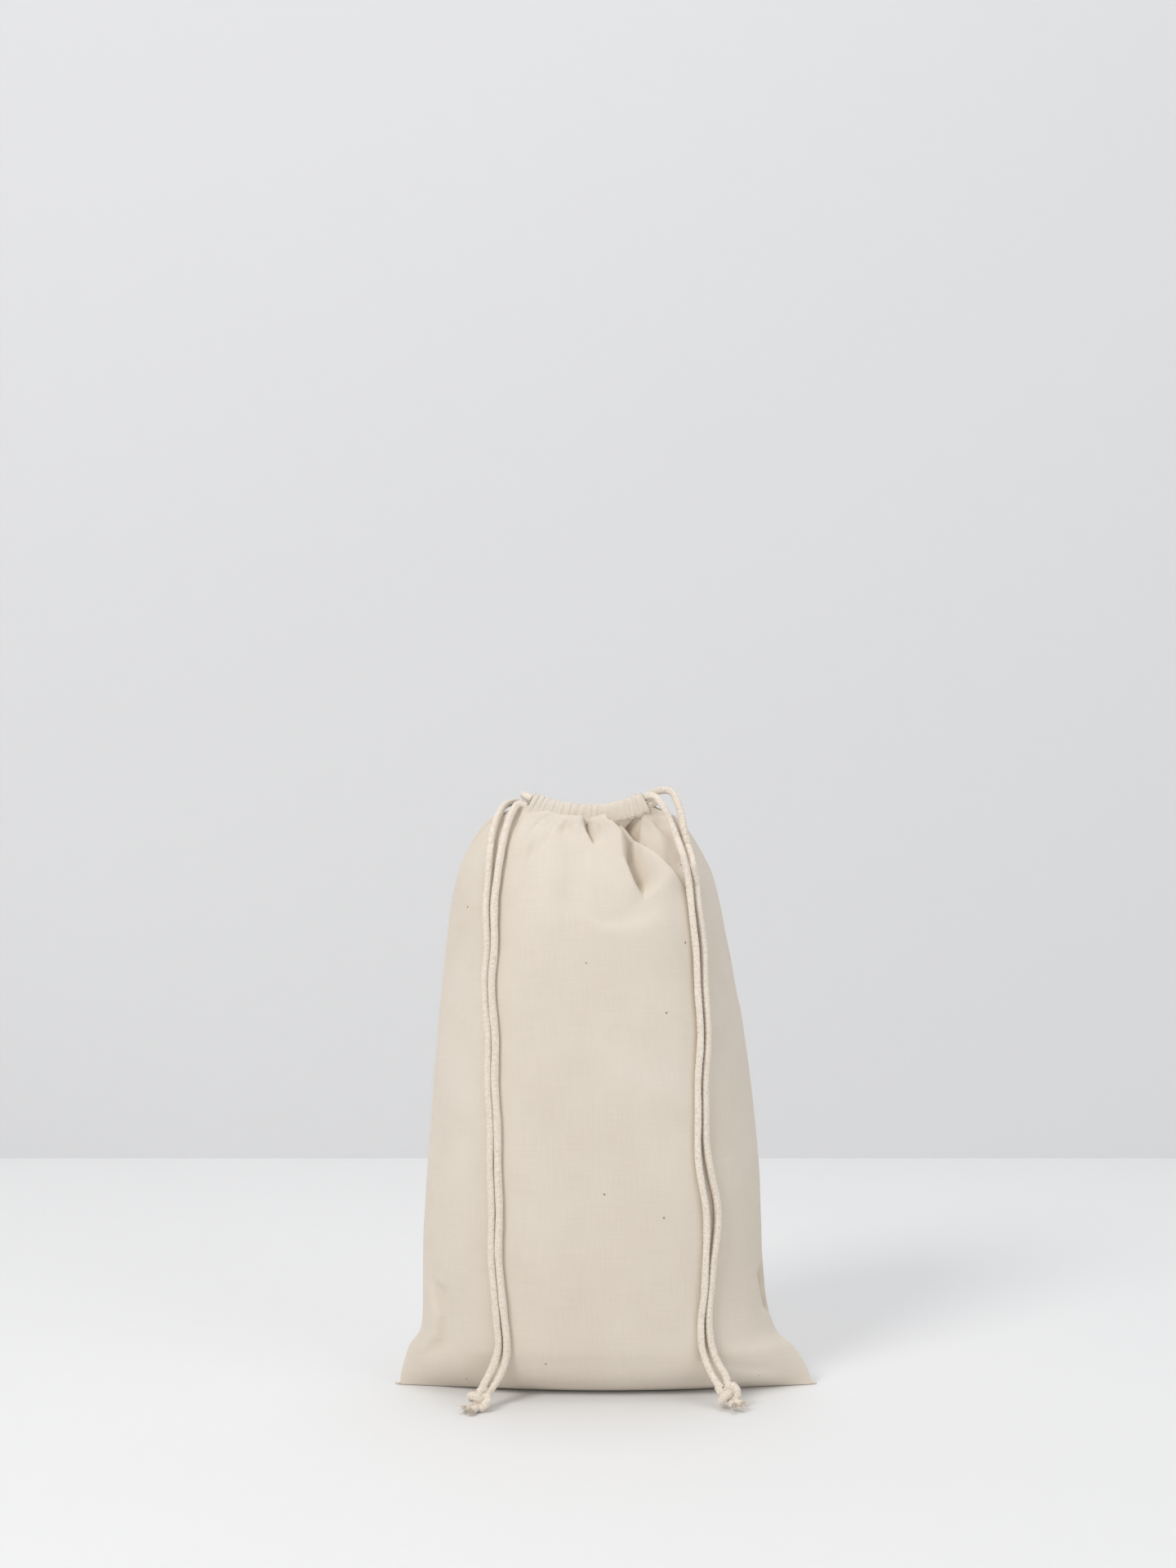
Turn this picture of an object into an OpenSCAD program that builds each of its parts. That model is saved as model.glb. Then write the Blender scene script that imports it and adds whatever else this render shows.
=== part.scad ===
// Drawstring project bag in unbleached cotton, drawn nearly shut and standing filled.
// Two flat panels are sewn together at the sides and bottom. Each has a hemmed tunnel
// (casing) along its top edge, and two cords run right round through both tunnels, one
// leaving at each side. The origin is on the floor under the middle of the bag, +Z up,
// and the front faces -Y.

/* [Cloth] */
// Thickness of one layer of cloth
cloth_t = 0.8; // [0.5:0.1:1.2]
// Width of the seam allowances inside the bag
allowance_w = 8; // [5:1:12]

/* [Standing shape] */
// Half the width of the bag from ear tip to ear tip
ear_half_w = 100; // [85:1:120]
// Half the width of the filled body
body_half_w = 79; // [66:1:92]
// Half the depth of the filled body
body_half_d = 41; // [34:1:50]
// Height of the ends of the neck above the floor
neck_h = 270; // [230:1:320]
// How far the neck leans to the left of the base
neck_lean = 8.6; // [0:0.1:12]

/* [Neck] */
// Half the width of the gathered neck
neck_half_w = 27; // [24:0.5:32]
// Radius of the sagging line of the neck
sag_r = 64; // [54:1:80]
// Clear width of the mouth between the two casings
mouth_w = 8.4; // [7:0.1:12]

/* [Cords] */
// Diameter of a cord
cord_d = 3.5; // [2.8:0.1:3.8]
// Clearance around each cord in its tunnel
cord_gap = 0.3; // [0.2:0.05:0.6]
// Radius of the knots
knot_r = 5; // [4:0.1:6]

/* [Stitches] */
// Thickness of the sewing thread
thread_d = 0.5; // [0.3:0.05:0.7]
// Length of one stitch that shows
stitch_len = 2; // [1.4:0.1:2.6]
// Distance from one stitch to the next
stitch_pitch = 3.2; // [2.8:0.1:5]

/* [Hidden] */

cloth_colour = [0.86, 0.80, 0.72];
hem_colour = [0.88, 0.83, 0.76];
cord_colour = [0.90, 0.85, 0.78];
thread_colour = [0.93, 0.90, 0.85];

touch = 0.05;          // between faces that rest on each other
part_gap = 0.3;        // between pieces that move apart

// The casing's tunnel holds two cords, one above the other.
tunnel_h = 2 * cord_d + 3 * cord_gap;
tunnel_d = cord_d + 2 * cord_gap;
casing_h = tunnel_h + 2 * cloth_t;
casing_d = tunnel_d + 2 * cloth_t;
casing_y = mouth_w / 2 + casing_d / 2;
run_offset = cord_d / 2 + cord_gap / 2;
sag_angle = asin(neck_half_w / sag_r);
sag = sag_r * (1 - cos(sag_angle));
neck_mid_z = neck_h + casing_h / 2 * cos(sag_angle) - sag;
sag_centre_z = neck_mid_z + sag_r;

// Shape of the filled bag from the bottom seam up:
// height share, half-width share, half-depth share, lean share.
// The widths below the body run out to the ears.
stations = [
    [0.000, 1.00, 0.00, 0.00],
    [0.000, 0.91, 0.25, 0.00],
    [0.015, 0.84, 0.49, 0.04],
    [0.037, 0.73, 0.65, 0.12],
    [0.067, 0.53, 0.75, 0.27],
    [0.105, 0.15, 0.82, 0.50],
    [0.222, 0.02, 0.90, 0.73],
    [0.407, -0.025, 0.96, 0.70],
    [0.593, -0.085, 1.00, 0.81],
    [0.759, -0.165, 0.95, 1.05],
    [0.870, -0.235, 0.78, 1.16],
    [0.933, -0.340, 0.56, 1.22],
    [0.974, -0.465, 0.32, 1.16],
    [0.992, -0.580, 0.15, 1.05],
    [1.000, -0.658, 0.00, 1.00],
];
last_station = len(stations) - 1;
slit_station = 10;     // the side seams end here, and the casings part above it
// Roundness of the cross-section at the floor and in the body
section_power = [1.7, 2.6];
section_blunt = [1.3, 0.8];
ear_lift = 1.6;        // how far the ears rise from the floor just behind their tips
steps_across = 28;
steps_per_station = 2;

function lerp(a, b, t) = a + (b - a) * t;
function smooth(t) = let (c = min(1, max(0, t))) c * c * (3 - 2 * c);
function knot_at(i) = stations[min(last_station, max(0, i))];
// Catmull-Rom between the stations
function station(v) =
    let (i = min(last_station - 1, floor(v)), t = v - i,
         p0 = knot_at(i - 1), p1 = knot_at(i), p2 = knot_at(i + 1), p3 = knot_at(i + 2))
    p1 + 0.5 * t * (p2 - p0 + t * (2 * p0 - 5 * p1 + 4 * p2 - p3 + t * (3 * (p1 - p2) + p3 - p0)));

// A share above 0 runs from the body out to the ears, and below 0 from the body in to the neck.
function half_width(share) = share >= 0
    ? lerp(body_half_w, ear_half_w - cloth_t, share)
    : lerp(body_half_w, neck_half_w, min(1, share / stations[last_station][1]));
function sag_z(x, r) = sag_centre_z - sqrt(r * r - x * x);

// A point on the inner face of a panel: u runs from -1 to 1 across, v along the stations,
// and side is -1 for the front and 1 for the back.
function cloth(u, v, side) =
    let (s = station(v), w = half_width(s[1]), x = w * sin(90 * u), rise = smooth(v / 5),
         power = lerp(section_power[0], section_power[1], rise),
         blunt = lerp(section_blunt[0], section_blunt[1], rise),
         bulge = body_half_d * max(0, s[2]) * pow(max(0, 1 - pow(abs(x) / w, power)), blunt),
         part = smooth((v - slit_station) / (last_station - slit_station)),
         lift = ear_lift * pow(abs(x) / w, 6) * smooth(v) * (1 - smooth((v - 3) / 3)),
         edge_z = neck_h * max(0, s[0]) + cloth_t + lift,
         rim_z = sag_z(min(abs(x), neck_half_w), sag_r + casing_h / 2 + cloth_t + part_gap + touch),
         slit_h = stations[slit_station][0],
         sinking = max(0, s[0] - slit_h) / (1 - slit_h))
    [x - neck_lean * s[3],
     side * (bulge + part * casing_y),
     edge_z - sinking * (neck_h + cloth_t - rim_z)];

function unit(a) = a / norm(a);
// The seam edges of both panels stay in the plane between them.
function outward(u, v, side) =
    let (h = 0.04, u0 = max(-0.97, min(0.97, u)), v0 = max(0.02, min(last_station - 0.02, v)),
         across = cloth(u0 + h / 2, v0, side) - cloth(u0 - h / 2, v0, side),
         up = cloth(u0, min(last_station, v0 + h), side) - cloth(u0, max(0, v0 - h), side),
         n = -side * unit(cross(across, up)),
         on_seam = v == 0 || (abs(u) > 0.999 && v <= slit_station))
    on_seam ? unit([n[0], 0, n[2]]) : n;

// A panel of cloth between two stations, as a closed shell.
module shell(from_v, to_v, side) {
    nv = ceil((to_v - from_v) * steps_per_station);
    nu = steps_across;
    grid = [for (j = [0:nv]) for (i = [0:nu]) [2 * i / nu - 1, lerp(from_v, to_v, j / nv)]];
    inner = [for (g = grid) cloth(g[0], g[1], side)];
    outer = [for (g = grid) cloth(g[0], g[1], side) + cloth_t * outward(g[0], g[1], side)];
    count = len(grid);
    row = nu + 1;
    function quad(a, b, c, d) = side < 0 ? [[a, b, c], [a, c, d]] : [[c, b, a], [d, c, a]];
    faces = concat(
        [for (j = [0:nv - 1]) for (i = [0:nu - 1])
            let (a = j * row + i) each quad(a, a + 1, a + row + 1, a + row)],
        [for (j = [0:nv - 1]) for (i = [0:nu - 1])
            let (a = count + j * row + i) each quad(a + row, a + row + 1, a + 1, a)],
        [for (i = [0:nu - 1]) each quad(i + 1, i, count + i, count + i + 1)],
        [for (i = [0:nu - 1])
            let (a = nv * row + i) each quad(a, a + 1, count + a + 1, count + a)],
        [for (j = [0:nv - 1])
            let (a = j * row) each quad(a, a + row, count + a + row, count + a)],
        [for (j = [0:nv - 1])
            let (a = j * row + nu) each quad(a + row, a, count + a, count + a + row)]);
    polyhedron(concat(inner, outer), faces, convexity = 6);
}

module front_panel() { color(cloth_colour) shell(0, last_station, -1); }
module back_panel() { color(cloth_colour) shell(0, slit_station, 1); }
module back_neck() {
    color(cloth_colour) translate([0, part_gap, part_gap]) shell(slit_station, last_station, 1);
}

// Side seam allowances: a folded strip inside each side seam, from above the ears to the slit.
first_open_v = 5.5;
seam_inset = 0.7;
function seam_edge(v, hand) = cloth(hand, v, -1);
module seam_allowance(hand) {
    levels = [for (v = [first_open_v:0.5:slit_station - 0.5]) seam_edge(v, hand)];
    n = len(levels);
    points = [for (p = levels) each [
        p - [hand * seam_inset, cloth_t, 0], p - [hand * seam_inset, -cloth_t, 0],
        p - [hand * allowance_w, -cloth_t, 0], p - [hand * allowance_w, cloth_t, 0]]];
    ring = [for (j = [0:n - 2]) for (k = [0:3])
        let (a = 4 * j + k, b = 4 * j + (k + 1) % 4)
        each hand > 0 ? [[a, b, b + 4], [a, b + 4, a + 4]] : [[b + 4, b, a], [a + 4, b + 4, a]]];
    ends = hand > 0 ? [[3, 2, 1, 0], [for (k = [0:3]) 4 * n - 4 + k]]
                    : [[0, 1, 2, 3], [for (k = [3:-1:0]) 4 * n - 4 + k]];
    color(hem_colour) polyhedron(points, concat(ring, ends));
}
module bottom_seam_allowance() {
    color(hem_colour) translate([-body_half_w * 0.9, -cloth_t, cloth_t + touch])
        cube([body_half_w * 1.8, 2 * cloth_t, allowance_w]);
}

// Rows of thread along the seams. Each stitch lies on the allowance's face.
module stitch(length) {
    rotate([0, 90, 0]) cylinder(h = length, d = thread_d, center = true, $fn = 16);
}
stitch_y = cloth_t + thread_d / 2 + touch;
module seam_stitches(hand) {
    low = seam_edge(first_open_v, hand)[2] + stitch_pitch;
    high = seam_edge(slit_station - 0.5, hand)[2] - stitch_pitch;
    steps = 60;
    color(thread_colour) for (z = [low:2 * stitch_pitch:high]) {
        at = [for (k = [0:steps]) let (v = lerp(first_open_v, slit_station - 0.5, k / steps))
              let (p = seam_edge(v, hand)) if (p[2] >= z) p][0];
        translate([at[0] - hand * allowance_w / 2, -stitch_y, z]) rotate([0, 90, 0]) stitch(stitch_len);
    }
}
module bottom_seam_stitches() {
    half = body_half_w * 0.9 - stitch_pitch;
    color(thread_colour) for (x = [-half:2 * stitch_pitch:half])
        translate([x, -stitch_y, cloth_t + allowance_w / 2]) stitch(stitch_len);
}

// Everything in the neck follows one sagging arc, and the casings and cord runs are swept round it.
module on_sag(angle = sag_angle) {
    translate([-neck_lean, 0, sag_centre_z]) rotate([90, 0, 0]) rotate([0, 0, -90 - angle])
        rotate_extrude(angle = 2 * angle, $fn = 128) children();
}
module rounded(w, h, r) {
    translate([r, r]) circle(r = r, $fn = 24);
    translate([w - r, r]) circle(r = r, $fn = 24);
    translate([r, h - r]) circle(r = r, $fn = 24);
    translate([w - r, h - r]) circle(r = r, $fn = 24);
    translate([r, 0]) square([w - 2 * r, h]);
    translate([0, r]) square([w, h - 2 * r]);
}
module casing(side) {
    color(hem_colour) on_sag() difference() {
        translate([sag_r - casing_h / 2, -side * casing_y - casing_d / 2]) rounded(casing_h, casing_d, 1.6);
        translate([sag_r - tunnel_h / 2, -side * casing_y - tunnel_d / 2]) rounded(tunnel_h, tunnel_d, 1);
    }
}
module hem_stitches(side) {
    stitch_r = sag_r + casing_h / 2 - 2 * cloth_t;
    y = side * (casing_y + casing_d / 2 + thread_d / 2 + touch);
    step = stitch_pitch / stitch_r * 180 / PI;
    color(thread_colour) for (a = [-sag_angle + step:step:sag_angle - step])
        translate([-neck_lean + stitch_r * sin(a), y, sag_centre_z - stitch_r * cos(a)])
            rotate([0, -a, 0]) stitch(stitch_len);
}
// The left cord has the lower place in the tunnels, and the right cord the upper one.
function run_r(hand) = sag_r - hand * run_offset;
module cord_run(hand, side) {
    color(cord_colour) on_sag() translate([run_r(hand), -side * casing_y]) circle(d = cord_d, $fn = 32);
}
// Each cord crosses from the front casing to the back one at the side away from its knot. The
// crossing stops short of the back casing, which moves past it as the mouth opens.
bight_angle = 150;
module cord_bight(hand) {
    end = -hand;
    r = run_r(hand);
    color(cord_colour)
        translate([-neck_lean + end * r * sin(sag_angle), 0, sag_centre_z - r * cos(sag_angle)])
        rotate([0, -end * sag_angle, 0]) translate([end * part_gap, 0, 0])
        rotate([0, 0, end > 0 ? -90 : 270 - bight_angle])
        rotate_extrude(angle = bight_angle, $fn = 64)
        translate([casing_y, 0]) circle(d = cord_d, $fn = 32);
}

// The free strands, from the end of a casing over the shoulder and down the front.
// A strand from the back casing is two pieces: the exit, which crosses the side slit as far as
// the shoulder, and the rest, which hangs down to the knot.
shoulder = 4;
left_front_route = [
    [-37.6, -7.1, 273], [-41.2, -8.6, 273.6], [-44, -12, 269.5], [-46.5, -16, 262], [-48.5, -20.5, 252],
    [-50, -25, 240], [-50.5, -29, 225], [-51, -31.5, 210], [-52, -32.5, 195], [-51.5, -34, 180],
    [-50.5, -35, 165], [-50, -35.2, 150], [-49.5, -35.5, 130], [-49, -35.5, 110], [-49, -35, 90],
    [-48.5, -34.7, 70], [-47.5, -34.2, 52], [-46, -33.3, 36], [-45.5, -32, 24], [-48, -34.5, 15],
    [-52.5, -38.5, 8.5]];
left_back_route = [
    [-37.6, 7.1, 273], [-42, 5.4, 274.3], [-47.5, -1, 273], [-51.5, -10.5, 265.5], [-53.6, -17.5, 254],
    [-54.3, -22.7, 241], [-54.8, -27, 225], [-54.8, -29.3, 210], [-55.7, -30.3, 195], [-55.2, -31.7, 180],
    [-54.3, -32.8, 165], [-53.8, -33.5, 150], [-53.3, -33.7, 130], [-53, -33.5, 110], [-53, -33.2, 90],
    [-52.4, -32.9, 70], [-51.5, -32.5, 52], [-50, -31.8, 37], [-49.4, -31.4, 27], [-51.5, -34, 18.5],
    [-55.5, -39.5, 11.5]];
right_front_route = [
    [19, -7.2, 276.9], [22.5, -9.2, 277.2], [26.5, -12.5, 272.5], [30.5, -13.5, 264], [34, -16.5, 254],
    [37, -20, 242], [39, -23.3, 228], [40, -26, 212], [41, -28.5, 195], [41.8, -30.3, 178],
    [42, -31.9, 160], [41.5, -33, 140], [41, -33.5, 120], [42.5, -32.7, 103], [44.5, -31.4, 88],
    [45.5, -30.6, 72], [44.5, -30.4, 55], [43, -31, 38], [43.5, -31.5, 26], [46.5, -34, 17],
    [50, -36.7, 11]];
right_back_route = [
    [18.9, 7.1, 276.6], [23.2, 5.5, 279.2], [30.3, 0, 279.5], [34.2, -6, 272], [36.8, -12, 259],
    [39.8, -16.8, 246], [42.6, -20.3, 231], [44.2, -23, 214], [45, -26, 196], [45.8, -27.8, 178],
    [46, -29.6, 160], [45.5, -31, 140], [45.3, -31.5, 122], [48, -29.8, 105], [50.2, -28.3, 91],
    [50.6, -27.9, 77], [48.8, -28.3, 61], [47, -29, 43], [47.3, -30, 30], [50, -32, 20.5],
    [53.8, -35.3, 14.2]];
strand_sides = 8;
// Rings of points square to the route
function ring_at(route, i) =
    let (n = len(route), t = unit(route[min(n - 1, i + 1)] - route[max(0, i - 1)]),
         a = unit(cross(t, [0, 1, 0])), b = cross(t, a))
    [for (k = [0:strand_sides - 1]) let (q = 360 * k / strand_sides)
        route[i] + cord_d / 2 * (cos(q) * a + sin(q) * b)];
module cord_length(route, first, last) {
    m = strand_sides;
    rings = last - first;
    points = [for (i = [first:last]) each ring_at(route, i)];
    wall = [for (i = [0:rings - 1]) for (k = [0:m - 1])
        let (a = m * i + k, b = m * i + (k + 1) % m) each [[a, b, b + m], [a, b + m, a + m]]];
    ends = [[for (k = [m - 1:-1:0]) k], [for (k = [0:m - 1]) m * rings + k]];
    color(cord_colour) polyhedron(points, concat(wall, ends));
}
module exit(route) { cord_length(route, 0, shoulder); }
module strand(route, first = 0) { cord_length(route, first, len(route) - 1); }

// The knots lie on the floor in front of the bag, with the cut ends of the cord beyond them.
left_knot_at = [-57, -42, knot_r];
right_knot_at = [54.5, -38.5, knot_r + 1.3];
module knot(at) { color(cord_colour) translate(at) sphere(r = knot_r, $fn = 48); }
tip_len = 6;
module cord_tip(at, turn) {
    reach = knot_r + touch;
    translate([at[0], at[1], cord_d / 2 + touch + 1]) rotate([0, 0, turn]) translate([reach, 0, 0])
        rotate([0, 90, 0]) cylinder(h = tip_len, d = cord_d, $fn = 32);
}
module left_cord_tips() {
    color(cord_colour) {
        cord_tip(left_knot_at, 205);
        cord_tip(left_knot_at, 250);
    }
}
module right_cord_tips() {
    color(cord_colour) {
        cord_tip(right_knot_at, -20);
        cord_tip(right_knot_at, -65);
    }
}

front_panel();
back_panel();
back_neck();
seam_allowance(-1);  // left_seam_allowance
seam_allowance(1);  // right_seam_allowance
bottom_seam_allowance();
seam_stitches(-1);  // left_seam_stitches
seam_stitches(1);  // right_seam_stitches
bottom_seam_stitches();
casing(-1);  // front_casing
casing(1);  // back_casing
hem_stitches(-1);  // front_hem_stitches
hem_stitches(1);  // back_hem_stitches
cord_run(-1, -1);  // left_cord_front_run
cord_run(-1, 1);  // left_cord_back_run
cord_bight(-1);  // left_cord_bight
cord_run(1, -1);  // right_cord_front_run
cord_run(1, 1);  // right_cord_back_run
cord_bight(1);  // right_cord_bight
exit(left_back_route);  // left_back_exit
exit(right_back_route);  // right_back_exit
strand(left_front_route);  // left_front_strand
strand(left_back_route, shoulder);  // left_back_strand
strand(right_front_route);  // right_front_strand
strand(right_back_route, shoulder);  // right_back_strand
knot(left_knot_at);  // left_knot
left_cord_tips();
knot(right_knot_at);  // right_knot
right_cord_tips();
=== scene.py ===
"""Drawstring project bag in unbleached cotton, standing filled with its neck drawn in."""

import math

import bpy
import numpy as np
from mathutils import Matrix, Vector
from mathutils.bvhtree import BVHTree


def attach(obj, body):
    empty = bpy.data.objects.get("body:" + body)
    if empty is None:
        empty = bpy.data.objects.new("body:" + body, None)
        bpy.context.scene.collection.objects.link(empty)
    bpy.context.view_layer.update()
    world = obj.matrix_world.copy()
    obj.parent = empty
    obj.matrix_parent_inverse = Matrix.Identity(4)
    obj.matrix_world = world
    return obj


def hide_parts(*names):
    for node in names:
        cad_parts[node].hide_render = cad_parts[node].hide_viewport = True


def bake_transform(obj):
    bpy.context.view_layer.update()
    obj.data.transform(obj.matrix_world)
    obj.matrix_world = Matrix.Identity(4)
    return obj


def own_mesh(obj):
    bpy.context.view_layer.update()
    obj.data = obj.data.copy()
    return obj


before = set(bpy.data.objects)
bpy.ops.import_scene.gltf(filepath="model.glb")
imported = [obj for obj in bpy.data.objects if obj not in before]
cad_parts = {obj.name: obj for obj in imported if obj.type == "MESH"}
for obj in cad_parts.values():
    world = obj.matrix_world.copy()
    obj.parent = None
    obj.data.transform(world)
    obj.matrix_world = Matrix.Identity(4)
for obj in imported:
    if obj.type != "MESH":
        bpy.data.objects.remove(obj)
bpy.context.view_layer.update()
MM = 0.001

# ---------------------------------------------------------------- sizes, in mm
CLOTH = 0.5             # one layer of calico
CAD_CLOTH = 0.8         # the same layer in the CAD, which keeps it thicker
FLAT_W, FLAT_H = 200, 300
EAR_HALF_W = 99.2
BODY_HALF_W = 79.0
BODY_HALF_D = 41.0
NECK_HALF_W = 27.0
NECK_LEAN = 8.6
NECK_H = 270.0
BASE_LIFT = 0.7         # from the floor to the middle of the bottom cloth
CORD_D = 3.5
CORD_GAP = 0.3
SAG_R = 64.0
SAG_ANGLE = math.asin(NECK_HALF_W / SAG_R)
MOUTH_W = 8.4
CASING_H = 2 * CORD_D + 3 * CORD_GAP + 2 * CAD_CLOTH
CASING_D = CORD_D + 2 * CORD_GAP + 2 * CAD_CLOTH
CASING_Y = MOUTH_W / 2 + CASING_D / 2
RUN_OFFSET = CORD_D / 2 + CORD_GAP / 2
NECK_MID = NECK_H + CASING_H / 2 * math.cos(SAG_ANGLE) - SAG_R * (1 - math.cos(SAG_ANGLE))
SAG_CENTRE = NECK_MID + SAG_R

# Height share, width share, depth share and lean share, from the bottom seam up
STATIONS = np.array([
    [0.000, 1.00, 0.00, 0.00],
    [0.000, 0.91, 0.25, 0.00],
    [0.015, 0.84, 0.49, 0.04],
    [0.037, 0.73, 0.65, 0.12],
    [0.067, 0.53, 0.75, 0.27],
    [0.105, 0.15, 0.82, 0.50],
    [0.222, 0.02, 0.90, 0.73],
    [0.407, -0.025, 0.96, 0.70],
    [0.593, -0.085, 1.00, 0.81],
    [0.759, -0.165, 0.95, 1.05],
    [0.870, -0.235, 0.78, 1.16],
    [0.933, -0.340, 0.56, 1.22],
    [0.974, -0.465, 0.32, 1.16],
    [0.992, -0.580, 0.15, 1.05],
    [1.000, -0.658, 0.00, 1.00],
])
LAST = len(STATIONS) - 1
SLIT = 10               # the station where the side seams end
OPENING = 11.6          # the station from which the front and back edges part
RIM_LAP = 4.0           # how far the panels run up over the lower edge of the casings
RIM_INSET = 0.7         # how far the panels' tops lie inside the casings' outer faces
SEAM_FOOT = 5.5         # the station where the straight part of the side seams starts
# Roundness and bluntness of the cross-section, at the floor and in the body
ROUNDNESS = (1.7, 3.7)
BLUNTNESS = (1.3, 0.82)
STITCH_PITCH = 3.2
THREAD_R = 0.25


# ---------------------------------------------------------------- small helpers
def lerp(a, b, t):
    return a + (b - a) * t


def smooth(t):
    t = np.clip(t, 0, 1)
    return t * t * (3 - 2 * t)


def catmull_rom(p0, p1, p2, p3, t):
    """The smooth curve from p1 to p2, which passes through all four points."""
    return p1 + 0.5 * t * (p2 - p0 + t * (2 * p0 - 5 * p1 + 4 * p2 - p3 + t * (3 * (p1 - p2) + p3 - p0)))


def line_lengths(line):
    """Distance along a line at each of its points."""
    return np.concatenate([[0], np.cumsum(np.linalg.norm(np.diff(line, axis=0), axis=1))])


def station(v):
    """The four shares at a place between the stations."""
    v = np.asarray(v, float)
    i = np.clip(np.floor(v).astype(int), 0, LAST - 1)
    t = (v - i)[..., None]
    return catmull_rom(*(STATIONS[np.clip(i + k, 0, LAST)] for k in (-1, 0, 1, 2)), t)


def half_width(share):
    """A share above 0 runs from the body out to the ears, and below 0 in to the neck."""
    out = lerp(BODY_HALF_W, EAR_HALF_W, share)
    into = lerp(BODY_HALF_W, NECK_HALF_W, np.minimum(1, share / STATIONS[LAST][1]))
    return np.where(share >= 0, out, into)


def ripple(x, z, seed, count, waves, size):
    """Soft seeded unevenness: a sum of plane waves with lengths between the two given."""
    r = np.random.default_rng(seed)
    total = np.zeros_like(x)
    for _ in range(count):
        length = r.uniform(*waves)
        angle = r.uniform(0, math.pi)
        phase = r.uniform(0, 2 * math.pi)
        total += np.cos(2 * math.pi * (x * math.cos(angle) + z * math.sin(angle)) / length + phase)
    return size * total / math.sqrt(count)


def link_object(name, data, material=None):
    obj = bpy.data.objects.new(name, data)
    bpy.context.scene.collection.objects.link(obj)
    if material:
        data.materials.append(material)
    return obj


def new_object(name, mesh, material):
    obj = link_object(name, mesh, material)
    return obj


def mesh_from(name, points, faces):
    """A smooth mesh from points in mm."""
    mesh = bpy.data.meshes.new(name)
    mesh.from_pydata((points.reshape(-1, 3) * MM).tolist(), [], faces)
    mesh.polygons.foreach_set("use_smooth", [True] * len(mesh.polygons))
    return mesh


def grid_mesh(name, points, uv=None, close_u=False, flip=False):
    """A mesh from a (rows, columns, 3) array of points in mm."""
    rows, cols = points.shape[:2]
    ids = np.arange(rows * cols).reshape(rows, cols)
    nxt = np.roll(ids, -1, axis=1) if close_u else ids[:, 1:]
    cur = ids if close_u else ids[:, :-1]
    quads = np.stack([cur[:-1], nxt[:-1], nxt[1:], cur[1:]], axis=-1).reshape(-1, 4)
    if flip:
        quads = quads[:, ::-1]
    mesh = mesh_from(name, points, quads.tolist())
    if uv is not None:
        layer = mesh.uv_layers.new(name="UVMap")
        loops = np.empty(len(mesh.loops), int)
        mesh.loops.foreach_get("vertex_index", loops)
        layer.data.foreach_set("uv", (uv.reshape(-1, 2) * MM)[loops].ravel())
    mesh.update()
    return mesh


def thicken(obj, thickness, offset=1.0):
    mod = obj.modifiers.new("thickness", "SOLIDIFY")
    mod.thickness = thickness * MM
    mod.offset = offset
    mod.use_even_offset = False
    apply_modifiers(obj)


def weld(obj):
    mod = obj.modifiers.new("weld", "WELD")
    mod.merge_threshold = 0.00001
    apply_modifiers(obj)


def apply_modifiers(obj):
    graph = bpy.context.evaluated_depsgraph_get()
    graph.update()
    mesh = bpy.data.meshes.new_from_object(obj.evaluated_get(graph))
    obj.modifiers.clear()
    obj.data = mesh


# ---------------------------------------------------------------- camera
camera = link_object("camera", bpy.data.cameras.new("camera"))
camera.location = (-0.0085, -1.026, 0.283)
camera.rotation_euler = (math.radians(90), 0, 0)
camera.data.lens = 50
camera.data.sensor_width = 36
bpy.context.scene.camera = camera
bpy.context.scene.render.resolution_x = 1440
bpy.context.scene.render.resolution_y = 1920
bpy.context.scene.view_settings.view_transform = "Standard"


# ---------------------------------------------------------------- materials
def node_tools(name, **finish):
    """A new material, with its shader's finish set, and two short ways to add and link nodes."""
    material = bpy.data.materials.new(name)
    material.use_nodes = True
    nodes, links = material.node_tree.nodes, material.node_tree.links
    shader = nodes["Principled BSDF"]
    for key, value in finish.items():
        shader.inputs[key.replace("_", " ")].default_value = value

    def add(kind, **inputs):
        node = nodes.new(kind)
        for key, value in inputs.items():
            if hasattr(node, key):
                setattr(node, key, value)
            else:
                node.inputs[key.replace("_", " ")].default_value = value
        return node

    def link(source, output, target, socket):
        links.new(source.outputs[output], target.inputs[socket])

    return material, shader, add, link


def two_tones(add, link, source, low, dark, high, light):
    """A colour that runs from dark to light as the source goes from low to high."""
    tone = add("ShaderNodeValToRGB")
    for element, position, colour in zip(tone.color_ramp.elements, (low, high), (dark, light)):
        element.position = position
        element.color = (*colour, 1)
    link(source, "Fac", tone, "Fac")
    return tone


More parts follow.
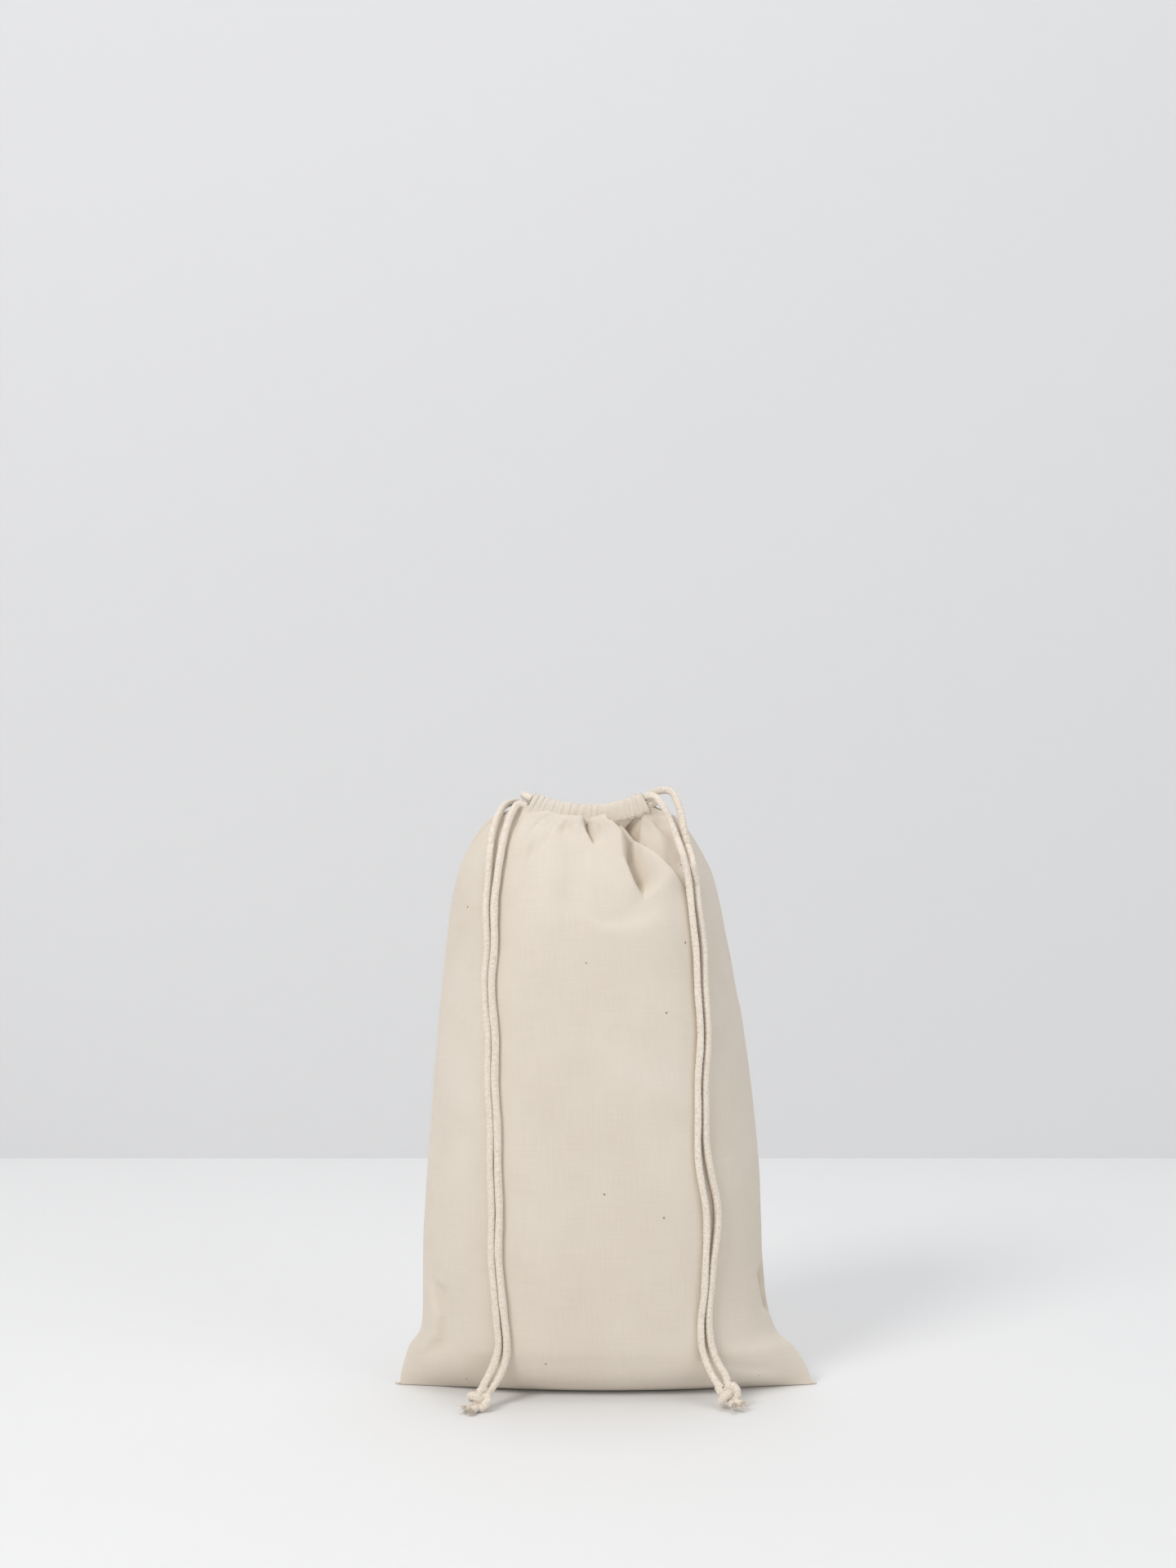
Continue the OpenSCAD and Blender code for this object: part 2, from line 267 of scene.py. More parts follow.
def cotton(name, light, dark, weave=2200.0, specks=110.0):
    """Undyed cotton: uneven cream, a fine weave and slubs in relief, and a few dark seed specks.
    Weave and specks are how many bands and cells there are to a metre, about."""
    material, shader, add, link = node_tools(
        name, Roughness=0.92, Sheen_Weight=0.18, Sheen_Roughness=0.6,
        Sheen_Tint=(1.0, 0.96, 0.9, 1.0), Specular_IOR_Level=0.15)
    uv = add("ShaderNodeUVMap")
    uv.uv_map = "UVMap"
    place = add("ShaderNodeTexCoord")

    cloudy = add("ShaderNodeTexNoise", Scale=22.0, Detail=3.0, Roughness=0.55)
    link(place, "Object", cloudy, "Vector")
    tone = two_tones(add, link, cloudy, 0.3, dark, 0.72, light)

    def slub(scale):
        stretch = add("ShaderNodeMapping")
        stretch.inputs["Scale"].default_value = scale
        link(uv, "UV", stretch, "Vector")
        noise = add("ShaderNodeTexNoise", Scale=1.0, Detail=2.0, Roughness=0.5)
        link(stretch, "Vector", noise, "Vector")
        return noise

    weft, warp = slub((60.0, 1400.0, 1.0)), slub((1400.0, 60.0, 1.0))
    threads = add("ShaderNodeMath", operation="ADD")
    link(weft, "Fac", threads, 0)
    link(warp, "Fac", threads, 1)
    shade = add("ShaderNodeMapRange", From_Min=0.7, From_Max=1.3, To_Min=0.972, To_Max=1.016)
    link(threads, "Value", shade, "Value")
    tinted = add("ShaderNodeMix", data_type="RGBA", blend_type="MULTIPLY")
    tinted.inputs["Factor"].default_value = 1.0
    link(tone, "Color", tinted, "A")
    link(shade, "Result", tinted, "B")

    cells = add("ShaderNodeTexVoronoi", Scale=specks, Randomness=1.0)
    link(place, "Object", cells, "Vector")
    near = add("ShaderNodeMapRange", From_Min=0.035, From_Max=0.06, To_Min=1.0, To_Max=0.0)
    link(cells, "Distance", near, "Value")
    rare = add("ShaderNodeSeparateColor")
    link(cells, "Color", rare, "Color")
    pick = add("ShaderNodeMath", operation="GREATER_THAN")
    pick.inputs[1].default_value = 0.8
    link(rare, "Red", pick, 0)
    speck = add("ShaderNodeMath", operation="MULTIPLY")
    link(near, "Result", speck, 0)
    link(pick, "Value", speck, 1)
    flecked = add("ShaderNodeMix", data_type="RGBA")
    flecked.inputs["B"].default_value = (0.23, 0.15, 0.08, 1)
    link(speck, "Value", flecked, "Factor")
    link(tinted, "Result", flecked, "A")
    link(flecked, "Result", shader, "Base Color")

    def wave(direction):
        node = add("ShaderNodeTexWave", wave_type="BANDS", bands_direction=direction)
        node.inputs["Scale"].default_value = weave
        node.inputs["Distortion"].default_value = 0.6
        node.inputs["Detail"].default_value = 1.0
        link(uv, "UV", node, "Vector")
        return node

    across, along = wave("X"), wave("Y")
    crossed = add("ShaderNodeMath", operation="MULTIPLY")
    link(across, "Fac", crossed, 0)
    link(along, "Fac", crossed, 1)
    relief = add("ShaderNodeMath", operation="ADD")
    link(crossed, "Value", relief, 0)
    link(threads, "Value", relief, 1)
    bump = add("ShaderNodeBump", Strength=0.35, Distance=0.00012)
    link(relief, "Value", bump, "Height")
    link(bump, "Normal", shader, "Normal")
    return material


def yarn(name, light, dark, scale):
    """Soft spun cotton for cords and thread."""
    material, shader, add, link = node_tools(
        name, Roughness=0.95, Sheen_Weight=0.3, Sheen_Roughness=0.5, Specular_IOR_Level=0.1)
    place = add("ShaderNodeTexCoord")
    fibre = add("ShaderNodeTexNoise", Scale=scale, Detail=4.0, Roughness=0.65)
    link(place, "Object", fibre, "Vector")
    tone = two_tones(add, link, fibre, 0.32, dark, 0.6, light)
    link(tone, "Color", shader, "Base Color")
    bump = add("ShaderNodeBump", Strength=0.5, Distance=0.0002)
    link(fibre, "Fac", bump, "Height")
    link(bump, "Normal", shader, "Normal")
    return material


CALICO = cotton("calico", (0.79, 0.71, 0.612), (0.735, 0.65, 0.545))
HEM = cotton("hem", (0.795, 0.72, 0.625), (0.74, 0.66, 0.56))
CORD = yarn("cord", (0.87, 0.79, 0.69), (0.68, 0.585, 0.475), 1100.0)
THREAD = yarn("thread", (0.88, 0.82, 0.72), (0.78, 0.70, 0.58), 1500.0)


# ---------------------------------------------------------------- cloth panels
def sag_z(x, r):
    """Height of the sagging line of the neck, at a radius."""
    return SAG_CENTRE - np.sqrt(r * r - x * x)


def base_surface(u, v, side):
    """The panel before its folds, in mm: side is -1 for the front and 1 for the back."""
    s = station(v)
    h, width_share, depth, lean = (s[..., k] for k in range(4))
    w = half_width(width_share)
    x = w * np.sin(math.pi / 2 * u)
    rise = smooth(v / 5)
    power, blunt = lerp(*ROUNDNESS, rise), lerp(*BLUNTNESS, rise)
    reach = np.clip(np.abs(x) / w, 0, 1)
    bulge = BODY_HALF_D * np.maximum(0, depth) * np.maximum(0, 1 - reach ** power) ** blunt
    part = smooth((v - OPENING) / (LAST - OPENING))
    edge = NECK_H * np.maximum(0, h) + BASE_LIFT
    rim = sag_z(np.minimum(np.abs(x), NECK_HALF_W), SAG_R + CASING_H / 2 - RIM_LAP)
    slit_h = STATIONS[SLIT][0]
    z = edge - np.maximum(0, h - slit_h) / (1 - slit_h) * (NECK_H + BASE_LIFT - rim)
    y = side * (bulge + part * (CASING_Y + CASING_D / 2 - RIM_INSET))
    return np.stack([x - NECK_LEAN * lean, y, z], axis=-1), w


def crease(x, z, points, ridge, pocket, ridge_w, pocket_w, edge=0.7, fade=(0.2, 0.3)):
    """A fold along a line of points running down the cloth. The cloth stands proud by ridge on the
    left of the line and drops by pocket on its right."""
    best = np.full(x.shape, 1e9)
    signed = np.zeros_like(x)
    along = np.zeros_like(x)
    pts = np.array(points, float)
    lengths = np.linalg.norm(np.diff(pts, axis=0), axis=1)
    total, done = lengths.sum(), 0.0
    for a, b, length in zip(pts[:-1], pts[1:], lengths):
        d = (b - a) / length
        t = np.clip((x - a[0]) * d[0] + (z - a[1]) * d[1], 0, length)
        dx, dz = x - a[0] - t * d[0], z - a[1] - t * d[1]
        dist = np.hypot(dx, dz)
        side = np.sign(d[0] * dz - d[1] * dx)
        closer = dist < best
        best = np.where(closer, dist, best)
        signed = np.where(closer, dist * side, signed)
        along = np.where(closer, (done + t) / total, along)
        done += length
    amount = smooth(along / fade[0] + 0.25) * smooth((1 - along) / fade[1])
    right = 0.5 * (1 + np.tanh(signed / edge))
    left_part = ridge * np.exp(-((np.minimum(signed, 0) / ridge_w) ** 2))
    right_part = -pocket * np.exp(-((np.maximum(signed, 0) / pocket_w) ** 2))
    return amount * ((1 - right) * left_part + right * right_part)


def pleats(x, z, w, seed):
    """Gathers that fan out from the casing: fine ones die out first and merge into broad ones."""
    fan = (x + NECK_LEAN) / w * NECK_HALF_W
    below = sag_z(np.clip(fan, -NECK_HALF_W, NECK_HALF_W), SAG_R + CASING_H / 2) - z
    below = np.maximum(0, below)
    r = np.random.default_rng(seed)
    total = np.zeros_like(x)
    for pitch, size, reach in ((2.7, 0.30, 4.0), (4.3, 0.55, 9.0), (7.6, 0.9, 20.0), (13.5, 1.3, 42.0)):
        phase = r.uniform(0, 2 * math.pi)
        drift = 0.35 * np.sin(fan / 9 + r.uniform(0, 6))
        wave = np.cos(2 * math.pi * (fan / pitch + drift) + phase)
        wave = np.sign(wave) * np.abs(wave) ** 0.75
        onset = smooth(below / (0.25 * reach) + 0.35)
        total += size * wave * onset * np.exp(-((below / reach) ** 1.6))
    return total


# Each crease: the points of its line (x, z), how far the cloth stands proud on its left and
# drops on its right, the widths of both, its sharpness, and how its two ends fade.
FRONT_CREASES = [
    ([(-12, 272), (-10, 262), (-5.5, 253)], 1.8, 4.6, 6, 4.2, 0.4),
    ([(-4, 271), (3, 264.5), (8, 259), (8.5, 249), (13, 238), (18, 230)],
     2.8, 9.5, 8, 9, 0.6, (0.3, 0.2)),
    ([(0, 273), (12, 262), (24, 249), (37, 234)], 3.6, 6.2, 8, 9, 0.7, (0.35, 0.25)),
    ([(-17, 266), (-32, 256), (-48, 245)], 0.9, 0.5, 6, 12, 2.0),
    ([(-22, 232), (-2, 218), (18, 221), (29, 232)], 1.2, 0.9, 9, 7, 2.6, (0.4, 0.4)),
    ([(-34, 268), (-46, 258), (-56, 238), (-60, 215)], 0.8, 0.5, 5, 8, 1.5),
    ([(-80, 52), (-77, 36), (-78, 26), (-88, 15)], 1.9, 3.2, 6, 6, 1.2),
    ([(-66, 60), (-72, 30), (-74, 8)], 0.8, 0.8, 9, 8, 2.5),
    ([(70, 58), (74, 38), (86, 22)], 1.2, 2.6, 8, 7, 1.4),
    ([(40, 20), (62, 12), (84, 8)], 0.7, 0.9, 7, 6, 1.8),
    ([(-62, 120), (-66, 80), (-62, 44)], 0.7, 0.6, 12, 10, 4.0),
]
BACK_CREASES = [
    ([(6, 271), (3, 256), (-6, 236)], 1.5, 3.0, 6, 8, 0.8),
    ([(-20, 270), (-30, 258), (-38, 238)], 1.6, 2.4, 7, 8, 0.9),
    ([(14, 269), (28, 252), (38, 230)], 1.4, 2.4, 6, 9, 0.9),
    ([(-82, 44), (-78, 27), (-88, 12)], 0.9, 1.2, 7, 6, 1.6),
    ([(72, 50), (78, 28), (88, 12)], 0.9, 1.3, 8, 7, 1.6),
    ([(52, 140), (58, 90), (56, 40)], 0.7, 0.6, 12, 12, 4.0),
]


def folds_of(side, x, z, w):
    """How far the folds move the cloth outwards: gathers, creases and soft unevenness."""
    if side < 0:
        d = 0.85 * pleats(x, z, w, 3) * (0.35 + 0.65 * smooth((x + 46) / 20))
        uneven = ripple(x, z, 11, 9, (34, 90), 0.34) + ripple(x, z, 12, 8, (13, 28), 0.07)
    else:
        d = 0.95 * pleats(x, z, w, 8)
        uneven = ripple(x, z, 21, 9, (34, 90), 0.4) + ripple(x, z, 22, 8, (13, 28), 0.08)
    for line in FRONT_CREASES if side < 0 else BACK_CREASES:
        d += crease(x, z, *line)
    return d + uneven


def panel_points(side, columns=250, row_step=0.75):
    """Grid of points of one folded panel, with its flat coordinates."""
    dense = np.linspace(0, LAST, 4000)
    line, _ = base_surface(np.zeros_like(dense), dense, side)
    length = line_lengths(line)
    rows = int(length[-1] / row_step)
    v = np.interp(np.linspace(0, length[-1], rows), length, dense)
    u = np.linspace(-1, 1, columns)
    uu, vv = np.meshgrid(u, v)
    points, w = base_surface(uu, vv, side)
    across, along = np.gradient(points, axis=1), np.gradient(points, axis=0)
    normal = np.cross(across, along) * -side
    normal /= np.maximum(1e-9, np.linalg.norm(normal, axis=-1, keepdims=True))
    x, z = points[..., 0], points[..., 2]
    folds = folds_of(side, x, z, w)
    # The seams hold the two panels together, and the base rests flat.
    at_seam = smooth((1 - np.abs(uu)) / 0.06)
    open_edge = smooth((vv - OPENING) / 1.5)
    at_base = smooth((z - BASE_LIFT) / 7)
    at_rim = smooth((LAST - vv) / 0.9)
    folds = folds * np.maximum(at_seam, open_edge * 0.6) * at_base * lerp(0.12, 1, at_rim)
    points = points + normal * folds[..., None]
    points[..., 2] = np.maximum(points[..., 2], BASE_LIFT)
    flat_up = np.interp(vv, dense, length) * FLAT_H / length[-1]
    flat = np.stack([(uu + 1) * FLAT_W / 2, flat_up], axis=-1)
    return points, flat


def cloth_panel(name, side, nodes):
    points, flat = panel_points(side)
    mesh = grid_mesh(name, points, flat, flip=side > 0)
    obj = new_object(name, mesh, CALICO)
    thicken(obj, CLOTH)
    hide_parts(*nodes)
    return obj, points


front, front_points = cloth_panel("front_cloth", -1, ["front_panel"])
back, _ = cloth_panel("back_cloth", 1, ["back_panel", "back_neck"])
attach(front, "bag")
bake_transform(back)


# ---------------------------------------------------------------- casings
def sag_point(angle, r):
    """A point on the sagging line of the neck, in mm, with the directions along and up."""
    c, s = np.cos(angle), np.sin(angle)
    return (np.stack([-NECK_LEAN + r * s, 0 * angle, SAG_CENTRE - r * c], -1),
            np.stack([-s, 0 * angle, c], -1))


def casing(name, side, node):
    """A folded hem drawn up on the cords: one tube of cloth, gathered along its length."""
    angles = np.linspace(-SAG_ANGLE, SAG_ANGLE, 260)
    turns = np.linspace(0, 2 * math.pi, 72, endpoint=False)
    ang, turn = np.meshgrid(angles, turns, indexing="ij")
    centre, up = sag_point(ang, SAG_R)
    c, s = np.cos(turn), np.sin(turn)
    box = (np.abs(c) ** 3.2 + np.abs(s) ** 3.2) ** (-1 / 3.2)
    along = ang * SAG_R
    wander = 1.5 * np.sin(along / 5.1 + side) + 0.9 * np.sin(along / 2.2 + 2 * side)
    fold = np.cos(2 * math.pi * along / 3.3 + 0.9 * np.sin(turn * 2 + side) + wander)
    fold = np.sign(fold) * np.abs(fold) ** 0.8
    fine = np.cos(2 * math.pi * along / 1.9 + 2 * np.sin(turn + 1.3 * side) + wander)
    gather = (0.2 + 0.14 * np.sin(along / 4.3 + 2)) * fold + 0.1 * fine
    half_d = CASING_D / 2 - 0.25 + gather * 0.9
    half_h = CASING_H / 2 - 0.25 + gather
    y = side * CASING_Y + half_d * box * s
    points = centre + up * (half_h * box * c)[..., None]
    points[..., 1] = y
    flat = np.stack([along * 3.6, turn * 5], axis=-1)
    obj = new_object(name, grid_mesh(name, points, flat, close_u=True), HEM)
    thicken(obj, CLOTH, -1.0)
    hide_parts(node)
    return obj


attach(casing("front_hem", -1, "front_casing"), "bag")
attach(casing("back_hem", 1, "back_casing"), "back_lip")


# ---------------------------------------------------------------- cords
SHOULDER = 5                  # the point of a back route where the exit ends and the strand starts
STRAND_STEP = 0.55            # between the rings of a strand
CROSSING_REACH = 4.2          # how far a cord stands out where it crosses at the far side
CLEAR_OF_FRONT, INSIDE_BAG = -75.0, 5.0
BRIDGE = 8                    # rings on each side over which a cord bridges a hollow


def resample(points, step):
    """A smooth line through the points, in even steps."""
    p = np.array(points, float)
    padded = np.vstack([2 * p[0] - p[1], p, 2 * p[-1] - p[-2]])
    line = []
    for i in range(1, len(padded) - 2):
        for t in np.linspace(0, 1, 24, endpoint=False):
            line.append(catmull_rom(*padded[i - 1:i + 3], t))
    line = np.array(line + [p[-1]])
    length = line_lengths(line)
    count = max(4, int(round(length[-1] / step)) + 1)
    at = np.linspace(0, length[-1], count)
    return np.stack([np.interp(at, length, line[:, k]) for k in range(3)], -1)


def frames(path, closed=False):
    """Directions square to the path, turned as little as possible from one ring to the next."""
    step = np.roll(path, -1, 0) - np.roll(path, 1, 0) if closed else np.gradient(path, axis=0)
    t = step / np.linalg.norm(step, axis=1, keepdims=True)
    a = np.cross(t[0], [0.31, 0.9, 0.3])
    side = []
    for k in range(len(path)):
        a = a - t[k] * np.dot(a, t[k])
        a = a / np.linalg.norm(a)
        side.append(a)
    a = np.array(side)
    return a, np.cross(t, a)


def ring_tube(path, radius, sides, closed=False):
    """Rings of points round a path. The radius is one number, or one for each point."""
    a, b = frames(path, closed)
    turn = np.linspace(0, 2 * math.pi, sides, endpoint=False)[None, :, None]
    return path[:, None] + radius * (np.cos(turn) * a[:, None] + np.sin(turn) * b[:, None])


def cord_tube(path, radius, sides=20, closed=False):
    """Knitted cord: a tube with columns of stitches in relief."""
    turn = np.linspace(0, 2 * math.pi, sides, endpoint=False)
    ss, tt = np.meshgrid(line_lengths(path), turn, indexing="ij")
    column = np.cos(4 * tt)
    leg = np.cos(2 * math.pi * ss / 2.3 + 2.2 * np.abs(np.sin(2 * tt)))
    relief = 1 + 0.055 * column + 0.06 * leg
    soft = 1 + 0.03 * np.sin(ss / 4.1) + 0.02 * np.sin(ss / 1.9 + 1)
    r = radius * 0.95 * relief * soft
    return ring_tube(path, r[..., None], sides, closed)


def capped(mesh_points, closed=False):
    """Closes a tube: at its ends with a centre point, or end to end where it is a loop."""
    if closed:
        return np.vstack([mesh_points, mesh_points[:1]])
    first = np.repeat(mesh_points[:1].mean(1, keepdims=True), mesh_points.shape[1], 1)
    last = np.repeat(mesh_points[-1:].mean(1, keepdims=True), mesh_points.shape[1], 1)
    return np.vstack([first, mesh_points, last])


def tube_object(name, path, radius, node, sides=20, closed=False):
    points = capped(cord_tube(path, radius, sides, closed), closed)
    mesh = grid_mesh(name, points, close_u=True, flip=True)
    obj = new_object(name, mesh, CORD)
    weld(obj)
    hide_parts(node)
    return obj


def tree_of(points):
    """A search tree of the quads of a grid of points."""
    rows, cols = points.shape[:2]
    starts = [j * cols + i for j in range(rows - 1) for i in range(cols - 1)]
    quads = [(i, i + 1, i + 1 + cols, i + cols) for i in starts]
    return BVHTree.FromPolygons([Vector(p) for p in points.reshape(-1, 3)], quads)


cloth_tree = tree_of(front_points)


def lay_on_cloth(path, reach):
    """Moves a path along Y until it lies on the front, between two heights."""
    out = path.copy()
    gap = CORD_D / 2 + CLOTH
    for k, p in enumerate(path):
        if not reach[0] < p[2] < reach[1]:
            continue
        low, high = CLEAR_OF_FRONT, INSIDE_BAG
        for _ in range(18):
            y = (low + high) / 2
            near = cloth_tree.find_nearest(Vector((p[0], y, p[2])))
            inside = (Vector((p[0], y, p[2])) - near[0]).dot(Vector((0, -1, 0))) < 0
            if near[3] < gap or inside:
                high = y
            else:
                low = y
        w = smooth((reach[1] - p[2]) / 8) * smooth((p[2] - reach[0]) / 12)
        out[k, 1] = lerp(p[1], low, float(w))
    # A limp cord still bridges small hollows: the outermost nearby place, then an average.
    edge = np.pad(out[:, 1], BRIDGE, mode="edge")
    window = 2 * BRIDGE + 1
    outermost = np.array([edge[k:k + window].min() for k in range(len(out))])
    edge = np.pad(outermost, BRIDGE, mode="edge")
    even = np.convolve(edge, np.ones(window) / window, "valid")
    w = smooth((reach[1] - path[:, 2]) / 10) * smooth((path[:, 2] - reach[0]) / 14)
    out[:, 1] = lerp(path[:, 1], even, w)
    return out


def closer(path, shift):
    """Moves a strand towards its neighbour where they hang side by side, with a slight waver."""
    w = smooth((path[:, 2] - 30) / 20) * smooth((245 - path[:, 2]) / 15)
    waver = 0.3 * np.sin(path[:, 2] / 6.3) + 0.25 * np.sin(path[:, 2] / 14.1 + 1)
    out = path.copy()
    out[:, 0] += w * (shift + waver)
    return out


# The strands' routes, from the casing to the knot
LEFT_FRONT = [
    [-36.6, -7.05, 272.6], [-37.6, -7.1, 273],
    [-41.2, -8.6, 273.6], [-44, -12, 269.5], [-46.5, -16, 262], [-48.5, -20.5, 252],
    [-50, -25, 240], [-50.5, -29, 225], [-51, -31.5, 210], [-52, -32.5, 195], [-51.5, -34, 180],
    [-50.5, -35, 165], [-50, -35.2, 150], [-49.5, -35.5, 130], [-49, -35.5, 110], [-49, -35, 90],
    [-48.5, -34.7, 70], [-47.5, -34.2, 52], [-46, -33.3, 36], [-45.5, -32, 24], [-48, -34.5, 15],
    [-52.5, -38.5, 8.5], [-54.5, -40.3, 6.6]]
LEFT_BACK = [
    [-36.6, 7.05, 272.6], [-37.6, 7.1, 273],
    [-42, 5.4, 274.3], [-47.5, -1, 273], [-51.5, -10.5, 265.5], [-53.6, -17.5, 254],
    [-54.3, -22.7, 241], [-54.8, -27, 225], [-54.8, -29.3, 210], [-55.7, -30.3, 195], [-55.2, -31.7, 180],
    [-54.3, -32.8, 165], [-53.8, -33.5, 150], [-53.3, -33.7, 130], [-53, -33.5, 110], [-53, -33.2, 90],
    [-52.4, -32.9, 70], [-51.5, -32.5, 52], [-50, -31.8, 37], [-49.4, -31.4, 27], [-51.5, -34, 18.5],
    [-55.5, -39.5, 11.5], [-56.8, -41, 8.6]]
RIGHT_FRONT = [
    [17.8, -7.05, 276.1], [19, -7.2, 276.9],
    [22.5, -9.2, 277.2], [26.5, -12.5, 272.5], [30.5, -13.5, 264], [34, -16.5, 254],
    [37, -20, 242], [39, -23.3, 228], [40, -26, 212], [41, -28.5, 195], [41.8, -30.3, 178],
    [42, -31.9, 160], [41.5, -33, 140], [41, -33.5, 120], [42.5, -32.7, 103], [44.5, -31.4, 88],
    [45.5, -30.6, 72], [44.5, -30.4, 55], [43, -31, 38], [43.5, -31.5, 26], [46.5, -34, 17],
    [50, -36.7, 11], [52.3, -37.6, 8.8]]
RIGHT_BACK = [
    [17.8, 7.05, 276.1], [18.9, 7.1, 276.6],
    [23.2, 5.5, 279.2], [30.3, 0, 279.5], [34.2, -6, 272], [36.8, -12, 259],
    [39.8, -16.8, 246], [42.6, -20.3, 231], [44.2, -23, 214], [45, -26, 196], [45.8, -27.8, 178],
    [46, -29.6, 160], [45.5, -31, 140], [45.3, -31.5, 122], [48, -29.8, 105], [50.2, -28.3, 91],
    [50.6, -27.9, 77], [48.8, -28.3, 61], [47, -29, 43], [47.3, -30, 30], [50, -32, 20.5],
    [53.8, -35.3, 14.2], [54.8, -36.8, 10.5]]


def cord_piece(name, path, node):
    """One free stretch of cord."""
    obj = tube_object(name, path, CORD_D / 2, node)
    return obj


def strands(hand, front_route, back_route):
    """One cord's two strands: the front one whole, the back one in two pieces."""
    toward = 1 if hand == "right" else -1
    front_path = closer(resample(front_route, STRAND_STEP), 0.3 * toward)
    front_path = lay_on_cloth(front_path, (16, 262))
    obj = cord_piece(f"{hand}_front_cord", front_path, f"{hand}_front_strand")
    hang(obj)
    back_path = closer(resample(back_route, STRAND_STEP), -0.2 * toward)
    back_path = lay_on_cloth(back_path, (18, 262))
    cut = int(np.argmin(np.linalg.norm(back_path - np.array(back_route[SHOULDER]), axis=1)))
    top, rest = back_path[:cut + 1], back_path[cut:]
    obj = cord_piece(f"{hand}_back_cord", rest, f"{hand}_back_strand")
    hang(obj)
    over = cord_piece(f"{hand}_back_cord_exit", top, f"{hand}_back_exit")
    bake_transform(over)


def hang(obj):
    """Rides on the bag, with a mesh of its own."""
    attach(obj, "bag")
    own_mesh(obj)


strands("left", LEFT_FRONT, LEFT_BACK)
strands("right", RIGHT_FRONT, RIGHT_BACK)


def run_r(hand):
    """Radius of the sagging line that a cord follows: the left cord runs below the right."""
    return SAG_R - hand * RUN_OFFSET


def captive_cords(hand):
    """The stretches of one cord inside the tunnels, and where it crosses at the far end."""
    side_name = "left" if hand < 0 else "right"
    for side, word, body in ((-1, "front", "bag"), (1, "back", "back_lip")):
        angles = np.linspace(-SAG_ANGLE, SAG_ANGLE, 90)
        path, _ = sag_point(angles, run_r(hand))
        path[:, 1] = side * CASING_Y
        obj = tube_object(f"{side_name}_cord_in_{word}", path, CORD_D / 2,
                          f"{side_name}_cord_{word}_run", 16)
        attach(obj, body)
    end = -hand
    centre, _ = sag_point(np.array([end * SAG_ANGLE]), run_r(hand))
    out = np.array([end * math.cos(SAG_ANGLE), 0, math.sin(SAG_ANGLE)])
    turns = np.linspace(0, math.pi, 46)
    path = centre[0] + out * 0.1 + np.outer(np.sin(turns) * CROSSING_REACH, out)
    path[:, 1] = -np.cos(turns) * CASING_Y
    bight = tube_object(f"{side_name}_cord_crossing", path, CORD_D / 2, f"{side_name}_cord_bight", 16)
    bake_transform(bight)


captive_cords(-1)
captive_cords(1)


# ---------------------------------------------------------------- knots and frayed ends
KNOT_SHAPE = [1.62, 1.48, 1.7]
KNOT_CORD_R = 1.9             # the cord is squeezed a little rounder in the knot
KNOT_LIFT = 2.1               # from the floor to the lowest turn's middle
TIP_R, FIBRE_R = 1.6, 0.13
TIP_H = 2.6


def knot(name, centre, turn, tilt, node, rise):
    """An overhand knot, pulled snug, lying on the floor."""
    t = np.linspace(0, 2 * math.pi, 300, endpoint=False)
    trefoil = [np.sin(t) + 2 * np.sin(2 * t), np.cos(t) - 2 * np.cos(2 * t), -1.25 * np.sin(3 * t)]
    p = np.stack(trefoil, -1) * KNOT_SHAPE
    ct, st = math.cos(tilt), math.sin(tilt)
    p = p @ np.array([[1, 0, 0], [0, ct, st], [0, -st, ct]])
    cz, sz = math.cos(turn), math.sin(turn)
    p = p @ np.array([[cz, sz, 0], [-sz, cz, 0], [0, 0, 1]])
    p = p + [centre[0], centre[1], 0]
    p[:, 2] += KNOT_LIFT + rise - p[:, 2].min()
    return tube_object(name, p, KNOT_CORD_R, node, 18, closed=True)


def frayed(start, direction, length, seed, count=46):
    """A cut end of cord whose yarns have opened out."""
    r = np.random.default_rng(seed)
    d = np.array(direction, float)
    d /= np.linalg.norm(d)
    path = np.array([start + d * s for s in np.linspace(0, length, 14)])
    parts = [capped(cord_tube(path, TIP_R, 16))]
    a, b = frames(path)
    for _ in range(count):
        turn, spread = r.uniform(0, 2 * math.pi), math.sqrt(r.uniform(0, 1))
        outward = spread * (math.cos(turn) * a[-1] + math.sin(turn) * b[-1])
        root = path[-3] + 1.15 * outward
        aim = d + 0.42 * outward + r.normal(0, 0.12, 3)
        aim /= np.linalg.norm(aim)
        reach = r.uniform(2.2, 4.6)
        bend = r.normal(0, 0.35, 3)
        steps = np.linspace(0, 1, 7)[:, None]
        fibre = root + aim * reach * steps + bend * steps ** 2
        fibre[:, 2] = np.maximum(fibre[:, 2], 0.3)
        thick = FIBRE_R * (1 - 0.6 * steps)
        parts.append(capped(ring_tube(fibre, thick[:, :, None], 4)))
    return parts


def joined(name, parts, material, node):
    """One mesh from several closed tubes."""
    verts, faces, base = [], [], 0
    for p in parts:
        rows, cols = p.shape[:2]
        ids = np.arange(rows * cols).reshape(rows, cols) + base
        nxt = np.roll(ids, -1, axis=1)
        faces += np.stack([ids[1:], nxt[1:], nxt[:-1], ids[:-1]], -1).reshape(-1, 4).tolist()
        verts.append(p.reshape(-1, 3))
        base += rows * cols
    mesh = mesh_from(name, np.vstack(verts), faces)
    mesh.update()
    obj = new_object(name, mesh, material)
    weld(obj)
    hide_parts(node)
    return obj


